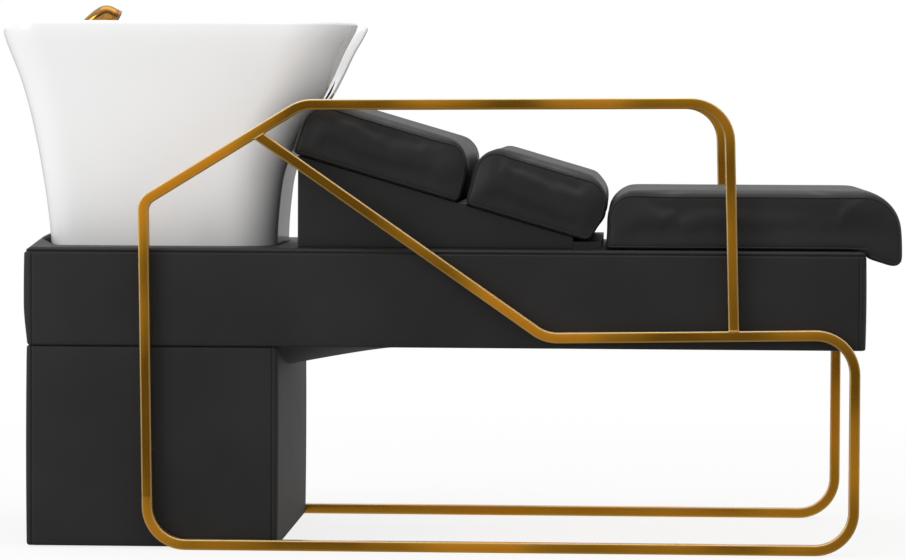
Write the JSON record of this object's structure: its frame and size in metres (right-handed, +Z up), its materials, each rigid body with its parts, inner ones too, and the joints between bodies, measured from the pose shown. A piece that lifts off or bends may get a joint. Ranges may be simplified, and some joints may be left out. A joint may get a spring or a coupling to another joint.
{
  "type": "hair washing bed",
  "caption": "Upholstered hair washing couch on a plinth between bent square-tube side frames, with a tilting ceramic basin, mixer and hand spray at the head end.",
  "frame": {"origin": "on the floor, mid length and mid width of the whole bed", "axes": "+X from the basin to the foot end, +Y to the client's left, +Z up"},
  "size_m": [1.642, 0.68, 0.997],
  "materials": {
    "brushed_gold": "brushed, satin lacquer",
    "polished_gold": "polished",
    "black_leatherette": "fine grain, satin",
    "plywood": "sanded",
    "white_ceramic": "glossy glaze",
    "black_steel": "powder coated",
    "zinc_steel": "zinc plated",
    "black_rubber": "matt",
    "grey_plastic": "moulded",
    "black_plastic": "moulded"
  },
  "bodies": {
    "root": {"arm_tube_right": "brushed_gold", "arm_tube_left": "brushed_gold", "loop_tube_right": "brushed_gold", "loop_tube_left": "brushed_gold", "frame_spacers": "brushed_gold", "box_cover": "black_leatherette", "back_roll": "black_leatherette", "belly_fairing": "black_leatherette", "plinth_cover": "black_leatherette", "wedge_cover": "black_leatherette", "shoulder_cushion": "black_leatherette", "back_cushion": "black_leatherette", "seat_cushion": "black_leatherette", "box_side_board_right": "plywood", "box_side_board_left": "plywood", "box_foot_board": "plywood", "box_back_board": "plywood", "box_cross_boards": "plywood", "buffer_rail": "plywood", "box_bottom_board": "plywood", "box_deck": "plywood", "plinth_side_board_right": "plywood", "plinth_side_board_left": "plywood", "plinth_front_board": "plywood", "plinth_floor_board": "plywood", "plinth_top_board": "plywood", "plinth_back_frame": "plywood", "wedge_carcass": "plywood", "shoulder_base_board": "plywood", "back_base_board": "plywood", "seat_base_board": "plywood", "service_panel": "black_steel", "wedge_base_board": "black_steel", "frame_bolts": "zinc_steel", "frame_rivet_nuts": "zinc_steel", "service_panel_screws": "zinc_steel", "cushion_screws": "zinc_steel", "bearing_screws": "zinc_steel", "tilt_buffers": "black_rubber", "bearing_blocks": "grey_plastic", "bearing_bushes": "grey_plastic", "levelling_glides": "black_plastic"},
    "basin": {"basin": "white_ceramic", "drain_flange": "polished_gold", "drain_seal": "black_rubber", "drain_nut": "grey_plastic", "tail_pipe": "grey_plastic", "basin_cradle": "black_steel", "cradle_pads": "black_rubber", "mixer_body": "polished_gold", "mixer_nut": "zinc_steel", "mixer_washer": "black_rubber", "spray_holder": "polished_gold", "holder_nut": "zinc_steel"},
    "mixer_cap": {"mixer_cap": "polished_gold"},
    "mixer_lever": {"mixer_lever": "polished_gold"},
    "hand_spray": {"hand_spray": "polished_gold", "spray_face": "black_plastic"},
    "strainer": {"drain_strainer": "polished_gold"}
  },
  "joints": [
    {"name": "basin_tilt", "type": "hinge", "parent": "root", "child": "basin", "pos_m": [-0.522, 0, 0.505], "axis": [0, -1, 0], "range_deg": [0, 5]},
    {"name": "mixer_turn", "type": "hinge", "parent": "basin", "child": "mixer_cap", "pos_m": [-0.693, 0.082, 0.92], "axis": [0, 0, 1], "range_deg": [-45, 45]},
    {"name": "lever_lift", "type": "hinge", "parent": "mixer_cap", "child": "mixer_lever", "pos_m": [-0.693, 0.082, 0.9313], "axis": [0, -1, 0], "range_deg": [0, 22]},
    {"name": "spray_lift", "type": "slide", "parent": "basin", "child": "hand_spray", "axis": [0.4695, 0, 0.8829], "range_m": [0, 0.12]},
    {"name": "strainer_lift", "type": "slide", "parent": "basin", "child": "strainer", "axis": [0, 0, 1], "range_m": [0, 0.06]}
  ]
}
